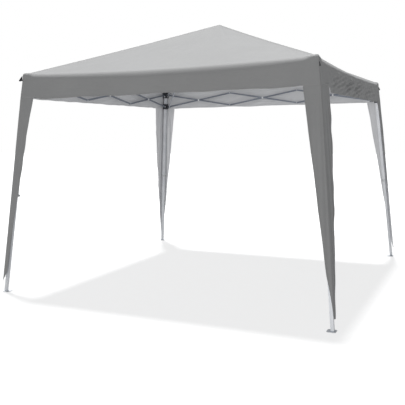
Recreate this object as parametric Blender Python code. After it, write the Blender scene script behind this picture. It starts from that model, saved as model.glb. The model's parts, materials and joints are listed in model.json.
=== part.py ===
"""A 3 x 3 m pop-up gazebo on slanted legs, standing open on flat ground.

Folding steel frame: four telescopic legs, a top bracket and a slider at each
corner, six crossing truss bars on each side, two-part hip rafters with struts
that meet at a centre hub, and one sewn fabric canopy with a valance and four
tapered leg covers.  Metres, +Z up, the ground at z = 0 and the origin below
the peak.  +Y is the back, -X the left.
"""
import math

import bpy
from mathutils import Matrix, Vector
from mathutils.geometry import delaunay_2d_cdt

for old in list(bpy.data.objects):
    bpy.data.objects.remove(old, do_unlink=True)

# ------------------------------------------------------------------ dimensions
HALF_TOP = 1.310        # leg axis at bracket height, from the centre, along x and along y
HALF_FOOT = 1.500       # leg axis at the ground
Z_PIVOT = 1.930         # leg pivot inside the top bracket
Z_TRUSS = 1.920         # pivots of the truss bars on the brackets
Z_RAFTER = 1.922        # pivot of the lower rafter on the bracket

# pins and the holes they pass through
PIN_R = 0.0030
HEAD_R = 0.0055
HEAD_T = 0.0020
PLAY = 0.0005           # between a pin's head and the bar it holds
HOLE_R = 0.0035

# truss bars
EAR = 0.045             # bracket truss pivot, along the side from the leg axis
DROP = 0.145            # height between the upper and the lower truss pivots
BAR_T = 0.007           # thickness
BAR_R = 0.0085          # half depth
LAYER_1 = 0.0           # mid plane of the outer layer, outward of the leg axes
LAYER_2 = -0.0085       # mid plane of the inner layer
FOLDED_TRUSS = math.radians(86.0)
Z_LOW_TRUSS = Z_TRUSS - DROP

# ears, the tabs that carry the pivots
EAR_N = 0.0095          # mid plane of the truss ears, outward of the leg axes
EAR_T = 0.006
EAR_HALF_H = 0.0095
TRUSS_EAR_END = 0.0095  # ears run on past the pivot by this much
RAFTER_EAR_END = 0.009
RAFTER_EAR_GAP = 0.0005  # between a rafter ear and the diagonal plane
LUG_HALF_H = 0.010      # rafter ears of the brackets and strut ears of the sliders
BAND = 0.0012           # bracket and slider stand out this far at ear height

# rafters and struts
RAFTER_A = 0.060        # rafter pivot, along the diagonal from the leg axis
HUB_EAR = 0.050         # rafter pivot, along the diagonal from the hub axis
RAFTER_L = 0.908        # pivot to pivot, each half
RAFTER_T = 0.009
RAFTER_R = 0.0090
RAFTER_W = 0.0060       # mid planes of the two halves, each side of the diagonal plane
STRUT_T = 0.007
STRUT_R = 0.0080
STRUT_W = -0.0175       # strut mid plane, beside the lower rafter
STRUT_EAR = 0.062       # strut pivot on the slider, along the diagonal from the bracket axis
STRUT_DROP = 0.012      # ... and this far below the slider's truss pivots
Z_STRUT = Z_LOW_TRUSS - STRUT_DROP

# legs
TUBE_UP = 0.0150        # half side of the upper tube
WALL_UP = 0.0015
TUBE_LOW = 0.0125
WALL_LOW = 0.0013
UPPER_TOP = 0.011       # top of the upper tube, above the leg pivot along the leg
UPPER_END_Z = 0.870
LOWER_TOP_Z = 1.010
FOOT = 0.068            # side of the square foot plate
FOOT_T = 0.005
FOOT_IN = 0.009         # the plate sits this far inboard of the leg, along x and y
FOOT_CHAMFER = 0.010
FOOT_HOLE_R = 0.0042
FOOT_HOLE_NEAR = 0.011  # hole centre from the nearer edge of the plate
FOOT_HOLE_FAR = 0.016   # ... and from the other one
Z_WELD = FOOT_T / 2     # the lower tube ends inside the plate
LEG_PIN_HALF = 0.029    # half length of the leg pin
LEG_HOLE_R = 0.0036
LEG_HOLE_HALF = 0.030   # half length of the cutter

# release pin, its socket and its hole: starts are measured from the leg axis
PIN_Z = 0.905
SOCKET_START, SOCKET_L, SOCKET_R = 0.0142, 0.0078, 0.0065
PIN_HOLE_START, PIN_HOLE_L, PIN_HOLE_R = 0.0128, 0.012, 0.0037
RELEASE_START, RELEASE_L, RELEASE_R = 0.0131, 0.0094, 0.0032
KNOB_L, KNOB_R = 0.0050, 0.0070

# brackets and sliders
BRACKET = 0.025         # half side
POCKET = 0.0208         # half side of the pocket for the leg
BRACKET_LOW = 1.884
BRACKET_TOP = 1.9570
CAP_INSET = 0.003       # the cap is a smaller square on top of the bracket
CAP_H = 0.004
POCKET_ROOF = 0.0075    # from the bracket's top down to the pocket
BRACKET_LUG_START = 0.028   # along the diagonal from the axis
BRACKET_PIN_START = 0.003   # rafter pin, across from the diagonal plane
PIN_SINK = 0.001        # a truss or strut pin starts this far past a mid plane or face
SHOULDER_GAP = 0.0006   # between a truss pin's shoulder and its bar
SLIDER = 0.0235
SLIDER_H = 0.062
SLIDER_BORE = 0.0158
SLIDER_LUG_START = 0.0285
SLIDER_LUG_GAP = 0.0025     # between the slider's lug and the strut

# canopy
EAVE = 1.342            # eave corner, from the centre along x and y
Z_APEX = 2.490
Z_CORNER = 1.9635
Z_EAVE_CORNER = 1.951
Z_HEM = 1.750
COVER_END = 1.515       # fold line of the leg covers at their tip
COVER_TIP_Z = 0.100
CLOTH = 0.0012

CORNERS = {
    "front_left": (-1, -1),
    "front_right": (1, -1),
    "back_right": (1, 1),
    "back_left": (-1, 1),
}
# each side runs from its first corner to its second, anticlockwise from above
SIDES = {
    "front": ("front_left", "front_right"),
    "right": ("front_right", "back_right"),
    "back": ("back_right", "back_left"),
    "left": ("back_left", "front_left"),
}

# ------------------------------------------------------------- folding linkage
UP = Vector((0, 0, 1))
ROOT_2 = math.sqrt(2)
SLOPE = (HALF_FOOT - HALF_TOP) / Z_PIVOT
LEAN = math.atan(SLOPE * ROOT_2)
SPAN = (2 * HALF_TOP - 2 * EAR) / 3         # each side is three crossings long
BAR_L = math.hypot(SPAN, DROP)
THETA = math.atan2(DROP, SPAN)
PIVOTS = RAFTER_A + HUB_EAR
ALPHA = math.acos((HALF_TOP * ROOT_2 - PIVOTS) / (2 * RAFTER_L))
Z_HUB = Z_RAFTER + 2 * RAFTER_L * math.sin(ALPHA)
FOLDED_HALF = (2 * EAR + 3 * BAR_L * math.cos(FOLDED_TRUSS)) / 2
FOLDED_RAFTER = math.acos((FOLDED_HALF * ROOT_2 - PIVOTS) / (2 * RAFTER_L))
FOLDED_DROP = BAR_L * math.sin(FOLDED_TRUSS)


def turned(x, y, angle):
    """Coordinates along the diagonal and up, after the leg's frame leans out by the angle."""
    return x * math.cos(angle) + y * math.sin(angle), y * math.cos(angle) - x * math.sin(angle)


def slider_seat():
    """The slider's ears in the leg's frame, its depth open and folded, and the folded lean.

    Open and folded, the truss ears meet the lower truss pivots, below the bracket's ears."""
    ear_world = (EAR - EAR_N) / ROOT_2
    ear_leg, low = turned(ear_world, Z_LOW_TRUSS - Z_PIVOT, -LEAN)
    folded_lean = LEAN / 5
    for _ in range(40):
        rise = ear_leg * math.sin(folded_lean)
        folded_depth = (Z_PIVOT - rise - Z_TRUSS + FOLDED_DROP) / math.cos(folded_lean)
        folded_lean = math.asin((ear_leg * math.cos(folded_lean) - ear_world) / folded_depth)
    offset = (EAR + EAR_N) / 2
    return ear_leg / ROOT_2 + offset, ear_leg / ROOT_2 - offset, -low, folded_depth, folded_lean


EAR_ALONG, EAR_ACROSS, SLIDER_OPEN, SLIDER_FOLDED, FOLDED_LEAN = slider_seat()
STRUT_EAR_OUT, STRUT_EAR_UP = turned(STRUT_EAR, Z_STRUT - Z_PIVOT, -LEAN)
STRUT_EAR_UP += SLIDER_OPEN
STRUT_FOLDED = turned(STRUT_EAR_OUT, STRUT_EAR_UP - SLIDER_FOLDED, FOLDED_LEAN)


def strut_size():
    """Where the strut meets the lower rafter, and its length: the same open and folded."""

    def lengths(place_on_rafter):
        along = RAFTER_A + place_on_rafter * math.cos(ALPHA)
        height = Z_RAFTER + place_on_rafter * math.sin(ALPHA)
        opened = math.hypot(along - STRUT_EAR, height - Z_STRUT)
        along = RAFTER_A + place_on_rafter * math.cos(FOLDED_RAFTER)
        height = Z_RAFTER - place_on_rafter * math.sin(FOLDED_RAFTER)
        folded = math.hypot(along - STRUT_FOLDED[0], height - (Z_PIVOT + STRUT_FOLDED[1]))
        return opened, folded

    low, high = 0.05, RAFTER_L
    for _ in range(60):
        mid = (low + high) / 2
        opened, folded = lengths(mid)
        low, high = (mid, high) if opened < folded else (low, mid)
    return low, lengths(low)[0]


STRUT_AT, STRUT_L = strut_size()

# ------------------------------------------------------------------- materials
LOOKS = {
    "leg_steel": dict(colour=(0.52, 0.55, 0.58), metallic=0.6, roughness=0.40),
    "bar_steel": dict(colour=(0.22, 0.23, 0.25), metallic=0.5, roughness=0.45),
    "rafter_steel": dict(colour=(0.42, 0.44, 0.47), metallic=0.5, roughness=0.45),
    "plastic": dict(colour=(0.03, 0.03, 0.035), metallic=0.0, roughness=0.55),
    "bright": dict(colour=(0.75, 0.76, 0.78), metallic=1.0, roughness=0.25),
    "cloth": dict(colour=(0.36, 0.36, 0.36), metallic=0.0, roughness=0.85),
}


def material(name, colour, metallic, roughness):
    made = bpy.data.materials.new(name)
    made.use_nodes = True
    shader = made.node_tree.nodes["Principled BSDF"]
    shader.inputs["Base Color"].default_value = (*colour, 1)
    shader.inputs["Metallic"].default_value = metallic
    shader.inputs["Roughness"].default_value = roughness
    made.diffuse_color = (*colour, 1)
    return made


# -------------------------------------------------------------- plan outlines


def circle(x, y, r, count=8):
    half_step = math.pi / count
    angles = [half_step + 2 * math.pi * i / count for i in range(count)]
    return [(x + r * math.cos(a), y + r * math.sin(a)) for a in angles]


def square(half):
    return [(-half, -half), (half, -half), (half, half), (-half, half)]


def eared_square(half, reach, middle):
    """A square with an ear on its +x and +y faces, out to reach, centred on middle across them."""
    near, far = middle - EAR_T / 2, middle + EAR_T / 2
    return [(-half, -half), (half, -half), (half, near), (reach, near), (reach, far), (half, far),
            (half, half), (far, half), (far, reach), (near, reach), (near, half), (-half, half)]


def rounded(length, r, back=0.0):
    """A flat bar's outline with round ends centred on x = -back and x = length."""
    steps = 5
    out = []
    for x, start in ((length, -math.pi / 2), (-back, math.pi / 2)):
        for i in range(steps + 1):
            a = start + math.pi * i / steps
            out.append((x + r * math.cos(a), r * math.sin(a)))
    return out


def edges_of(loop):
    return zip(loop, loop[1:] + loop[:1])


def area(loop):
    """Signed area, positive for an anticlockwise loop."""
    return sum(ax * by - bx * ay for (ax, ay), (bx, by) in edges_of(loop)) / 2


def inside(x, y, loop):
    """Whether a point lies in a loop, by counting crossings."""
    found = False
    for (ax, ay), (bx, by) in edges_of(loop):
        if (ay > y) != (by > y) and x < ax + (bx - ax) * (y - ay) / (by - ay):
            found = not found
    return found


# -------------------------------------------------------------- mesh building


class Shell:
    """Collects faces, with points merged where they meet."""

    def __init__(self):
        self.points, self.faces, self.index = [], [], {}

    def at(self, p):
        key = (round(p[0], 6), round(p[1], 6), round(p[2], 6))
        if key not in self.index:
            self.index[key] = len(self.points)
            self.points.append(key)
        return self.index[key]

    def face(self, corners):
        self.faces.append([self.at(p) for p in corners])

    def flat(self, loops, z, up):
        """The area inside the first loop and outside the others, at height z."""
        points, edges = [], []
        for loop in loops:
            start = len(points)
            points += loop
            edges += [(start + i, start + (i + 1) % len(loop)) for i in range(len(loop))]
        _, _, triangles, origin, *_ = delaunay_2d_cdt(
            [Vector(p) for p in points], edges, [], 0, 1e-9)
        for triangle in triangles:
            a, b, c = (points[origin[i][0]] for i in triangle)
            x, y = (a[0] + b[0] + c[0]) / 3, (a[1] + b[1] + c[1]) / 3
            if sum(inside(x, y, loop) for loop in loops) % 2 == 0:
                continue
            if (area([a, b, c]) > 0) != up:
                b, c = c, b
            self.face([(*p, z) for p in (a, b, c)])

    def wall(self, loop, z0, z1, outward=True):
        """The wall over an anticlockwise loop, facing away from its inside, or into it."""
        for a, b in edges_of(loop):
            quad = [(*a, z0), (*b, z0), (*b, z1), (*a, z1)]
            self.face(quad if outward else quad[::-1])

    def mesh(self, name):
        made = bpy.data.meshes.new(name)
        made.from_pydata(self.points, [], self.faces)
        made.validate()
        return made


def bar(outline, thickness, holes=(0,), pins=(), grip=0.0, side=1):
    """A flat bar in its own x-y plane, with holes and headed pins at the given x.

    The pins stand on the +z or -z face and reach to grip, from the bar's mid plane."""
    shell = Shell()
    half = thickness / 2
    rings = [circle(x, 0, HOLE_R) for x in holes]
    feet = [circle(x, 0, PIN_R) for x in pins]
    shell.flat([outline, *rings, *(feet if side > 0 else [])], half, True)
    shell.flat([outline, *rings, *(feet if side < 0 else [])], -half, False)
    shell.wall(outline, -half, half)
    for ring in rings:
        shell.wall(ring, -half, half, outward=False)
    foot, neck, tip = side * half, side * (grip + PLAY), side * (grip + PLAY + HEAD_T)
    for x, shaft in zip(pins, feet):
        head = circle(x, 0, HEAD_R)
        shell.wall(shaft, min(foot, neck), max(foot, neck))
        shell.flat([head, shaft], neck, side < 0)
        shell.wall(head, min(neck, tip), max(neck, tip))
        shell.flat([head], tip, side > 0)
    return shell


def stack(sections, bore=None, blind=None):
    """Plan outlines on top of each other, [(outline, z0, z1), ...].

    Of two neighbours one lies inside the other.  bore runs right through;
    blind = (loop, z) is a pocket from below up to z."""
    shell = Shell()
    inner = [bore] if bore else []
    low = [blind[0]] if blind else inner
    bottom, top = sections[0][1], sections[-1][2]
    shell.flat([sections[0][0], *low], bottom, False)
    for (outline, z0, z1), after in zip(sections, sections[1:] + [None]):
        shell.wall(outline, z0, z1)
        if after is None:
            shell.flat([outline, *inner], z1, True)
        elif area(after[0]) < area(outline):
            shell.flat([outline, after[0]], z1, True)
        else:
            shell.flat([after[0], outline], z1, False)
    if bore:
        shell.wall(bore, bottom, top, outward=False)
    if blind:
        shell.wall(blind[0], bottom, blind[1], outward=False)
        shell.flat([blind[0]], blind[1], False)
    return shell


def lathe_pin(shell, start, along, steps, count=8):
    """A closed stepped pin from a point along a direction: steps is [(radius, from, to), ...]."""
    along = along.normalized()
    side = along.orthogonal().normalized()
    other = along.cross(side)

    def ring(r, distance):
        return [start + along * distance + (side * x + other * y) * r
                for x, y in circle(0, 0, 1, count)]

    rings = [ring(r, distance) for r, *ends in steps for distance in ends]
    shell.face(rings[0][::-1])
    for a, b in zip(rings, rings[1:]):
        for i in range(count):
            j = (i + 1) % count
            shell.face([a[i], a[j], b[j], b[i]])
    shell.face(rings[-1])


def headed(grip, start=0.0):
    """The steps of a pin's shaft up to the far face it holds, and of its head."""
    neck = grip + PLAY
    return [(PIN_R, start, neck), (HEAD_R, neck, neck + HEAD_T)]


def add_object(name, shell, matrix):
    obj = bpy.data.objects.new(name, shell.mesh(name))
    bpy.context.scene.collection.objects.link(obj)
    obj.matrix_world = matrix
    return obj


def place(name, shell, look, matrix, smooth=False):
    obj = add_object(name, shell, matrix)
    obj.data.materials.append(material(name + "_material", **LOOKS[look]))
    for polygon in obj.data.polygons:
        polygon.use_smooth = smooth
    return obj


def combine(obj, suffix, shell, matrix, operation="UNION"):
    """Join a shell to an object, or cut it away, through a hidden helper."""
    other = add_object(f"{obj.name}_{suffix}", shell, matrix)
    other.hide_render = True
    other.display_type = "WIRE"
    made = obj.modifiers.new(operation.lower(), "BOOLEAN")
    made.solver = "EXACT"
    made.operation = operation
    made.object = other


def in_plane(origin, level, normal, angle):
    """A frame in the upright plane of level: x climbs by the angle, z is the plane's normal."""
    along = level * math.cos(angle) + UP * math.sin(angle)
    across = -level * math.sin(angle) + UP * math.cos(angle)
    return Matrix.Translation(origin) @ Matrix((along, across, normal)).transposed().to_4x4()


# ---------------------------------------------------------------- corner parts


class Corner:
    """Directions and frames of one corner.

    hinge is the level line across the diagonal, on which the leg and the rafters
    turn.  upright and leaned have their origin at the leg pivot."""

    def __init__(self, name, sx, sy):
        self.name, self.sx, self.sy = name, sx, sy
        self.inward_x, self.inward_y = Vector((-sx, 0, 0)), Vector((0, -sy, 0))
        self.inward = (self.inward_x + self.inward_y).normalized()
        self.hinge = self.inward.cross(UP)
        self.axis = Vector((sx * HALF_TOP, sy * HALF_TOP, 0))
        self.upright = Matrix.Translation(self.axis + UP * Z_PIVOT)
        tilt = Matrix.Rotation(-LEAN, 4, self.hinge)
        self.turn = tilt.to_3x3()
        self.leaned = self.upright @ tilt

    def plan(self, loop):
        """An outline given as (inward x, inward y), in world directions, anticlockwise."""
        out = [(-self.sx * x, -self.sy * y) for x, y in loop]
        return out if area(out) > 0 else out[::-1]

    def level(self, x, y, z):
        """Where a line along the leg through (x, y) meets world height z, in the leg's frame."""
        return (z - Z_PIVOT - (self.turn @ Vector((x, y, 0))).z) / (self.turn @ UP).z

    def diagonal(self, origin, angle):
        return in_plane(origin, self.inward, self.hinge, angle)

    def lug(self, start, pivot, across, z):
        """A block on the diagonal from start to past the pivot, EAR_T thick from across."""
        end = pivot + RAFTER_EAR_END
        far = across + EAR_T
        loop = [self.inward * h + self.hinge * w
                for h, w in ((start, across), (end, across), (end, far), (start, far))]
        loop = [(v.x, v.y) for v in loop]
        loop = loop if area(loop) > 0 else loop[::-1]
        shell = Shell()
        shell.flat([loop], z - LUG_HALF_H, False)
        shell.flat([loop], z + LUG_HALF_H, True)
        shell.wall(loop, z - LUG_HALF_H, z + LUG_HALF_H)
        return shell


def bracket_pins(corner):
    """Two truss pins, the rafter pin, and the leg pin across the pocket."""
    pins = Shell()
    # a side starts along x at front left and back right, along y at the others;
    # the bar that starts here is in layer 1, the one that ends here in layer 2
    starts_x = corner.sx == corner.sy
    for along, across, starts in ((corner.inward_x, corner.inward_y, starts_x),
                                  (corner.inward_y, corner.inward_x, not starts_x)):
        layer = LAYER_1 if starts else LAYER_2
        base = along * EAR + UP * (Z_TRUSS - Z_PIVOT) - across * (EAR_N + PIN_SINK)
        bar_face = EAR_N + PIN_SINK - (layer + BAR_T / 2)
        shoulder = bar_face - SHOULDER_GAP
        lathe_pin(pins, base, across, [(HEAD_R, 0, shoulder), *headed(bar_face + BAR_T, shoulder)])
    base = (corner.inward * RAFTER_A + corner.hinge * BRACKET_PIN_START
            + UP * (Z_RAFTER - Z_PIVOT))
    lathe_pin(pins, base, -corner.hinge, headed(BRACKET_PIN_START + RAFTER_W + RAFTER_T / 2))
    lathe_pin(pins, -corner.hinge * LEG_PIN_HALF, corner.hinge, [(PIN_R, 0, 2 * LEG_PIN_HALF)])
    return pins


def add_bracket(corner):
    """A housing, open below for the leg, with two truss ears and a rafter ear."""
    eared = corner.plan(eared_square(BRACKET + BAND, EAR + TRUSS_EAR_END, -EAR_N))
    body = corner.plan(square(BRACKET))
    pocket = corner.plan(square(POCKET))
    cap = corner.plan(square(BRACKET - CAP_INSET))
    low, high = BRACKET_LOW - Z_PIVOT, BRACKET_TOP - Z_PIVOT
    ear_low, ear_high = Z_TRUSS - Z_PIVOT - EAR_HALF_H, Z_TRUSS - Z_PIVOT + EAR_HALF_H
    shell = stack([
        (body, low, ear_low),
        (eared, ear_low, ear_high),
        (body, ear_high, high - CAP_H),
        (cap, high - CAP_H, high),
    ], blind=(pocket, high - POCKET_ROOF))
    bracket = place(f"bracket_{corner.name}", shell, "plastic", corner.upright)
    combine(bracket, "pins", bracket_pins(corner), corner.upright)
    # the ear is on the upper rafter's side of the diagonal plane
    lug = corner.lug(BRACKET_LUG_START, RAFTER_A, RAFTER_EAR_GAP, Z_RAFTER - Z_PIVOT)
    combine(bracket, "lug", lug, corner.upright)


def leg_tube(loops, top, bottom):
    """A tube's top and its outer and inner walls, down to bottom(x, y)."""
    tube = Shell()
    tube.flat(loops, top, True)
    for loop, outward in zip(loops, (True, False)):
        for a, b in edges_of(loop):
            quad = [(*a, bottom(*a)), (*b, bottom(*b)), (*b, top), (*a, top)]
            tube.face(quad if outward else quad[::-1])
    return tube


def add_upper_leg(corner):
    """The upper tube, cut square at both ends, with a socket for the release pin."""
    loops = [corner.plan(square(half)) for half in (TUBE_UP, TUBE_UP - WALL_UP)]
    end = corner.level(0, 0, UPPER_END_Z)
    tube = leg_tube(loops, UPPER_TOP, lambda x, y: end)
    tube.flat(loops, end, False)
    leg = place(f"upper_leg_{corner.name}", tube, "leg_steel", corner.leaned)

    inward, height = corner.inward_x, UP * corner.level(0, 0, PIN_Z)
    socket = Shell()
    lathe_pin(socket, inward * SOCKET_START + height, inward, [(SOCKET_R, 0, SOCKET_L)])
    combine(leg, "socket", socket, corner.leaned)
    cuts = Shell()
    lathe_pin(cuts, inward * PIN_HOLE_START + height, inward, [(PIN_HOLE_R, 0, PIN_HOLE_L)])
    lathe_pin(cuts, -corner.hinge * LEG_HOLE_HALF, corner.hinge,
              [(LEG_HOLE_R, 0, 2 * LEG_HOLE_HALF)])
    combine(leg, "cuts", cuts, corner.leaned, "DIFFERENCE")


def add_release_pin(corner):
    pin = Shell()
    lathe_pin(pin, corner.inward_x * RELEASE_START, corner.inward_x, [
        (RELEASE_R, 0, RELEASE_L), (KNOB_R, RELEASE_L, RELEASE_L + KNOB_L)], count=10)
    at_pin = corner.leaned @ Matrix.Translation(UP * corner.level(0, 0, PIN_Z))
    place(f"release_pin_{corner.name}", pin, "bright", at_pin, smooth=True)


def foot_plate(corner):
    """A square plate with chamfered corners and two holes."""
    half = FOOT / 2
    short = half - FOOT_CHAMFER
    near, far = half - FOOT_HOLE_NEAR, -half + FOOT_HOLE_FAR
    outline = corner.plan([(short, -half), (half, -short), (half, short), (short, half),
                           (-short, half), (-half, short), (-half, -short), (-short, -half)])
    holes = [corner.plan(circle(x, y, FOOT_HOLE_R)) for x, y in ((near, far), (far, near))]
    plate = Shell()
    plate.flat([outline, *holes], 0, False)
    plate.flat([outline, *holes], FOOT_T, True)
    plate.wall(outline, 0, FOOT_T)
    for hole in holes:
        plate.wall(hole, 0, FOOT_T, outward=False)
    return plate


def add_lower_leg(corner):
    """The lower tube, cut level at the foot and welded to a flat plate."""
    loops = [corner.plan(square(half)) for half in (TUBE_LOW, TUBE_LOW - WALL_LOW)]
    tube = leg_tube(loops, corner.level(0, 0, LOWER_TOP_Z),
                    lambda x, y: corner.level(x, y, Z_WELD))
    outer, hollow = [[(x, y, corner.level(x, y, Z_WELD)) for x, y in loop] for loop in loops]
    for i in range(4):
        j = (i + 1) % 4
        tube.face([outer[j], outer[i], hollow[i], hollow[j]])
    leg = place(f"lower_leg_{corner.name}", tube, "leg_steel", corner.leaned)
    plate_half = HALF_FOOT - FOOT_IN
    at_foot = Matrix.Translation(Vector((corner.sx * plate_half, corner.sy * plate_half, 0)))
    combine(leg, "plate", foot_plate(corner), at_foot)


def add_slider(corner):
    """A collar round the upper tube with two truss ears and a strut ear."""
    eared = corner.plan(eared_square(SLIDER + BAND, EAR_ALONG + TRUSS_EAR_END, EAR_ACROSS))
    body = corner.plan(square(SLIDER))
    shell = stack([
        (body, -SLIDER_H / 2, -EAR_HALF_H),
        (eared, -EAR_HALF_H, EAR_HALF_H),
        (body, EAR_HALF_H, SLIDER_H / 2),
    ], bore=corner.plan(square(SLIDER_BORE)))
    on_leg = corner.leaned @ Matrix.Translation(-UP * SLIDER_OPEN)
    slider = place(f"slider_{corner.name}", shell, "plastic", on_leg)
    lug = corner.lug(SLIDER_LUG_START, STRUT_EAR_OUT,
                     STRUT_W + STRUT_T / 2 + SLIDER_LUG_GAP, STRUT_EAR_UP)
    combine(slider, "lug", lug, on_leg)


def add_rafter(corner):
    """Lower rafter, upper rafter and strut, side by side along the diagonal."""
    foot = corner.axis + corner.inward * RAFTER_A + UP * Z_RAFTER
    along = corner.inward * math.cos(ALPHA) + UP * math.sin(ALPHA)
    outline = rounded(RAFTER_L, RAFTER_R)

    # the lower half carries the knee pin on one face and the strut pin on the other
    at_foot = corner.diagonal(foot - corner.hinge * RAFTER_W, ALPHA)
    shell = bar(outline, RAFTER_T, pins=[RAFTER_L], grip=2 * RAFTER_W + RAFTER_T / 2)
    lower = place(f"lower_rafter_{corner.name}", shell, "rafter_steel", at_foot)
    pin = Shell()
    start = -RAFTER_T / 2 + PIN_SINK
    strut_gap = -RAFTER_W - STRUT_W
    lathe_pin(pin, Vector((STRUT_AT, 0, start)), -UP, headed(strut_gap + start + STRUT_T / 2))
    combine(lower, "pin", pin, at_foot)

    knee = foot + along * RAFTER_L
    place(f"upper_rafter_{corner.name}", bar(outline, RAFTER_T, holes=(0, RAFTER_L)),
          "rafter_steel", corner.diagonal(knee + corner.hinge * RAFTER_W, ALPHA))

    strut_top = foot + along * STRUT_AT
    down = corner.axis + corner.inward * STRUT_EAR + UP * Z_STRUT - strut_top
    angle = math.atan2(down.z, down.dot(corner.inward))
    place(f"strut_{corner.name}", bar(rounded(STRUT_L, STRUT_R), STRUT_T), "rafter_steel",
          corner.diagonal(strut_top + corner.hinge * STRUT_W, angle))


# ----------------------------------------------------------------- truss bars
# Numbered from the side's first corner.  "fall" bars are in the outer layer,
# "rise" bars in the inner one.  Columns: name, place of the bar's hole in spans
# from the first pivot, its height, layer, angle, and the face with the pins.
# The hole is at one end, or halfway along where the place is half a span.
Z_CROSSING = (Z_TRUSS + Z_LOW_TRUSS) / 2
TRUSS_BARS = [
    ("fall_1", 0.0, Z_TRUSS, LAYER_1, -THETA, -1),
    ("rise_1", 0.5, Z_CROSSING, LAYER_2, THETA, 0),
    ("rise_2", 1.0, Z_LOW_TRUSS, LAYER_2, THETA, 0),
    ("rise_3", 3.0, Z_TRUSS, LAYER_2, math.pi + THETA, 1),
    ("fall_3", 2.5, Z_CROSSING, LAYER_1, -THETA, 0),
    ("fall_2", 2.0, Z_LOW_TRUSS, LAYER_1, math.pi - THETA, 0),
]


def add_truss(side, first, second):
    start = Vector((*CORNERS[first], 0)) * HALF_TOP
    end = Vector((*CORNERS[second], 0)) * HALF_TOP
    along = (end - start).normalized()
    out = along.cross(UP)
    whole, centred = rounded(BAR_L, BAR_R), rounded(BAR_L / 2, BAR_R, BAR_L / 2)
    for name, spans, z, layer, angle, pin_side in TRUSS_BARS:
        shell = bar(centred if spans % 1 else whole, BAR_T,
                    pins=[BAR_L / 2, BAR_L] if pin_side else [],
                    grip=LAYER_1 - LAYER_2 + BAR_T / 2, side=pin_side)
        origin = start + along * (EAR + spans * SPAN) + UP * z + out * layer
        place(f"truss_{side}_{name}", shell, "bar_steel", in_plane(origin, along, out, angle))


# ------------------------------------------------------------------------ hub
HUB_R = 0.034
HUB_BAND = 0.0015       # the hub stands out this far at ear height
HUB_PIN_START = 0.0025  # rafter pins, across from the diagonal plane
# plain discs below and above the ears: radius, from, to
HUB_BELOW = [(HUB_R - 0.004, -0.028, -0.024), (HUB_R, -0.024, -EAR_HALF_H)]
HUB_ABOVE = [
    (HUB_R, EAR_HALF_H, 0.0150), (0.043, 0.0150, 0.0270), (0.038, 0.0270, 0.0340),
    (0.026, 0.0340, 0.0395), (0.012, 0.0395, 0.0420),
]


def hub_outline(r, reach):
    """A round boss with four ears, each on the lower-rafter side of its diagonal."""
    w0, w1 = -RAFTER_EAR_GAP - EAR_T, -RAFTER_EAR_GAP
    root_0, root_1 = math.sqrt(r * r - w0 * w0), math.sqrt(r * r - w1 * w1)
    out = []
    for k in range(4):
        turn = math.pi / 4 + k * math.pi / 2
        for h, w in ((root_0, w0), (reach, w0), (reach, w1), (root_1, w1)):
            out.append((h * math.cos(turn) - w * math.sin(turn),
                        h * math.sin(turn) + w * math.cos(turn)))
        start, end = turn + math.asin(w1 / r), turn + math.pi / 2 + math.asin(w0 / r)
        for i in range(1, 5):
            a = start + (end - start) * i / 5
            out.append((r * math.cos(a), r * math.sin(a)))
    return out


def add_hub(corners):
    below, above = ([(circle(0, 0, r, 20), z0, z1) for r, z0, z1 in discs]
                    for discs in (HUB_BELOW, HUB_ABOVE))
    eared = hub_outline(HUB_R + HUB_BAND, HUB_EAR + RAFTER_EAR_END)
    at_hub = Matrix.Translation(UP * Z_HUB)
    shell = stack([*below, (eared, -EAR_HALF_H, EAR_HALF_H), *above])
    hub = place("hub", shell, "plastic", at_hub)
    pins = Shell()
    for corner in corners:
        base = -corner.inward * HUB_EAR - corner.hinge * HUB_PIN_START
        lathe_pin(pins, base, corner.hinge, headed(HUB_PIN_START + RAFTER_W + RAFTER_T / 2))
    combine(hub, "pins", pins, at_hub)


# --------------------------------------------------------------------- canopy
# One sewn sheet: the roof, a valance on each side, and a tapered cover that
# runs down the two outer faces of each leg.  Rings of the sheet run round the
# square, and each side of a ring has the same stations.

# metres from the corner along the eave, up to the middle and on to the next corner
STATIONS = [0.0, 0.020, 0.066, 0.1345, 0.30, 0.52, 0.78, 1.06]
STATIONS = STATIONS + [EAVE] + [2 * EAVE - s for s in reversed(STATIONS)]
ROOF_RINGS = (0.035, 0.13, 0.28, 0.48, 0.70, 0.88, 0.975)   # shares of HALF_TOP
HEM_RINGS = (0.5, 1.0)                                      # shares of the way down the valance
HIP_SAG = 0.016
SIDE_SLACK = 0.030      # extra sag midway between the hips

TRUSS_HALF = 1.3200     # ring that lies on the truss
TRUSS_LINE_Z = 1.9350   # its height at mid side
TRUSS_LINE_RISE = 0.0200    # ... and its rise toward the corners
SHOULDER_HALF = 1.3380  # ring just inside the eave
SHOULDER_UP = 0.012     # shoulder ring above the fold
EAVE_DOWN = 0.014       # eave ring below the fold
EAVE_DIP = 0.052        # the fold is this much lower at mid side
ON_BRACKET = 0.070      # the sheet lies on the bracket this near the corner
BRACKET_LIFT = 0.0010
HEM_OUT = 0.004         # the hem stands out from the eave
CORNER_OUT = 0.0155     # ... and more at the corner, fading out over CORNER_FADE
CORNER_FADE = 0.35

COVER_ROWS = (1.46, 1.15, 0.85, 0.55, 0.30, COVER_TIP_Z)    # heights
COVER_COLUMNS = 3       # each side of the fold
COVER_TIP_WIDTH = 0.0107
COVER_TAPER = 0.075     # width gained per metre of height

QUARTER_TURNS = [(1, 0), (0, 1), (-1, 0), (0, -1)]  # cosine, sine: front, right, back, left


def roof_height(share, c):
    """Height at a share of the way out to the truss line; c runs from -1 to 1 along the side."""
    hip = Z_APEX - (Z_APEX - Z_CORNER) * share - HIP_SAG * math.sin(math.pi * share)
    return hip - SIDE_SLACK * share ** 1.5 * (1 - c * c)


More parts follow.
